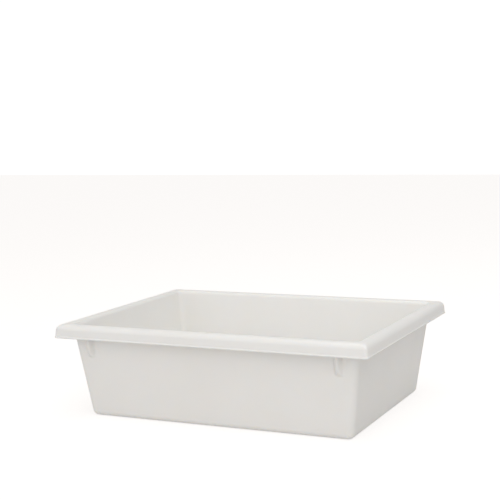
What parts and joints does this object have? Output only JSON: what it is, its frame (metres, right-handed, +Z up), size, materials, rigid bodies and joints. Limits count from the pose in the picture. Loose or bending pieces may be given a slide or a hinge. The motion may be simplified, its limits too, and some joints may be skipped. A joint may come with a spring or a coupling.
{
  "type": "developing tray",
  "caption": "Deep rectangular darkroom developing tray with drafted walls, a rounded base, a turned-down hollow rim and stacking lugs under it.",
  "frame": {"origin": "centre of the underside, on the surface the tray stands on", "axes": "+X along the length of the tray, +Y across it to the back, +Z up out of the basin"},
  "size_m": [0.483, 0.369, 0.14],
  "materials": {
    "tray_plastic": "satin natural-white polyethylene, slightly translucent"
  },
  "bodies": {
    "root": {"tray": "tray_plastic"}
  },
  "joints": []
}
